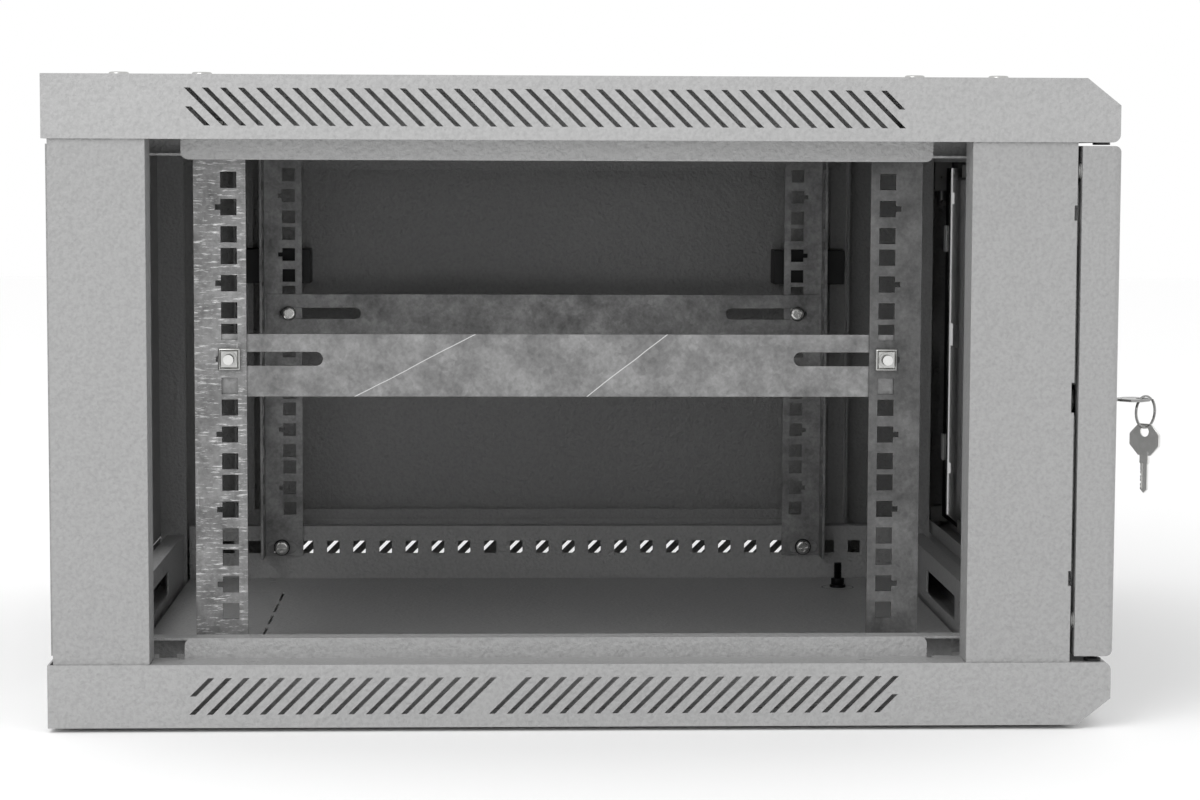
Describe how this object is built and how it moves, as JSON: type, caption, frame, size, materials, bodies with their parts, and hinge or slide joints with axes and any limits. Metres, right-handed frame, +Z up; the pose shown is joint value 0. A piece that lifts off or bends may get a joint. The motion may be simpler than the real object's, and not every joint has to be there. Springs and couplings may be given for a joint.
{
  "type": "wall mount network cabinet",
  "caption": "Wall-hung steel rack cabinet with a glazed lockable door, one lift-off side panel, an open left side and depth-adjustable rack rails.",
  "frame": {"origin": "centre of the four wall bolts on the wall plane", "axes": "+Z up, X across the width, the door faces -Y"},
  "size_m": [0.6, 0.6459, 0.3792],
  "materials": {
    "powder_coat": "light grey fine-texture powder coat",
    "galvanized_steel": "galvanized with fine spangle",
    "zinc_steel": "bright zinc plate",
    "tinted_glass": "polished tinted glass",
    "black_foam": "matte foam strip",
    "clear_rubber": "soft translucent",
    "nickel_plate": "bright nickel plate",
    "black_plastic": "fine matte"
  },
  "bodies": {
    "cabinet": {"roof_shell": "powder_coat", "base_shell": "powder_coat", "floor_panel": "powder_coat", "rear_panel": "powder_coat", "post_front_left": "powder_coat", "post_front_right": "powder_coat", "post_rear_left": "powder_coat", "post_rear_right": "powder_coat", "beam_top_left": "powder_coat", "beam_top_right": "powder_coat", "beam_base_left": "powder_coat", "beam_base_right": "powder_coat", "cross_top_front": "powder_coat", "cross_top_rear": "powder_coat", "cross_base_front": "powder_coat", "cross_base_rear": "powder_coat", "rail_front_left": "galvanized_steel", "rail_front_right": "galvanized_steel", "rail_rear_left": "galvanized_steel", "rail_rear_right": "galvanized_steel", "bar_left": "galvanized_steel", "bar_right": "galvanized_steel", "roof_screws": "zinc_steel", "base_screws": "zinc_steel", "rail_screws": "zinc_steel", "rail_washers": "zinc_steel", "rail_nuts": "zinc_steel", "bar_screws": "zinc_steel", "cage_nuts": "zinc_steel", "cross_screws": "zinc_steel", "post_screws": "zinc_steel", "rear_panel_screws": "zinc_steel", "ground_stud": "zinc_steel", "hinge_bushes": "zinc_steel"},
    "door": {"door_frame": "powder_coat", "door_glass": "tinted_glass", "door_gasket": "black_foam", "glass_clips": "zinc_steel", "door_bumpers": "clear_rubber", "lock_body": "nickel_plate", "lock_nut": "zinc_steel", "hinge_pin_lower": "zinc_steel", "hinge_brackets": "zinc_steel", "hinge_spring": "zinc_steel"},
    "hinge_pin": {"hinge_pin_upper": "zinc_steel"},
    "lock_plug": {"lock_plug": "nickel_plate", "lock_cam": "zinc_steel", "cam_screw": "zinc_steel"},
    "key": {"key": "nickel_plate"},
    "key_ring": {"key_ring": "zinc_steel"},
    "spare_key": {"spare_key": "nickel_plate"},
    "side_panel": {"side_panel": "powder_coat", "latch_housings": "black_plastic"},
    "latch_front": {"latch_slider_front": "black_plastic"},
    "latch_rear": {"latch_slider_rear": "black_plastic"}
  },
  "joints": [
    {"name": "door_hinge", "type": "hinge", "parent": "cabinet", "child": "door", "pos_m": [0.292, -0.6045, 0], "axis": [0, 0, 1], "range_deg": [0, 180]},
    {"name": "hinge_pin_slide", "type": "slide", "parent": "door", "child": "hinge_pin", "axis": [0, 0, -1], "range_m": [0, 0.009], "stiffness_N_per_m": 600, "springref_m": -0.004, "deforming": ["hinge_spring"]},
    {"name": "lock_turn", "type": "hinge", "parent": "door", "child": "lock_plug", "pos_m": [-0.273, -0.6045, 0.0006], "axis": [0, 1, 0], "range_deg": [0, 90]},
    {"name": "key_slide", "type": "slide", "parent": "lock_plug", "child": "key", "axis": [0, -1, 0], "range_m": [0, 0.024]},
    {"name": "ring_tilt", "type": "hinge", "parent": "key", "child": "key_ring", "pos_m": [-0.26973, -0.63818, 0.0024], "axis": [0.682, -0.7314, 0], "range_deg": [-12, 12]},
    {"name": "spare_key_swing", "type": "hinge", "parent": "key_ring", "child": "spare_key", "pos_m": [-0.26973, -0.63818, -0.0164], "axis": [0.682, -0.7314, 0], "range_deg": [-45, 45]},
    {"name": "side_panel_pull", "type": "slide", "parent": "cabinet", "child": "side_panel", "axis": [1, 0, 0], "range_m": [0, 0.06]},
    {"name": "latch_front_slide", "type": "slide", "parent": "side_panel", "child": "latch_front", "axis": [0, -1, 0], "range_m": [0, 0.01]},
    {"name": "latch_rear_slide", "type": "slide", "parent": "side_panel", "child": "latch_rear", "axis": [0, 1, 0], "range_m": [0, 0.01]}
  ]
}
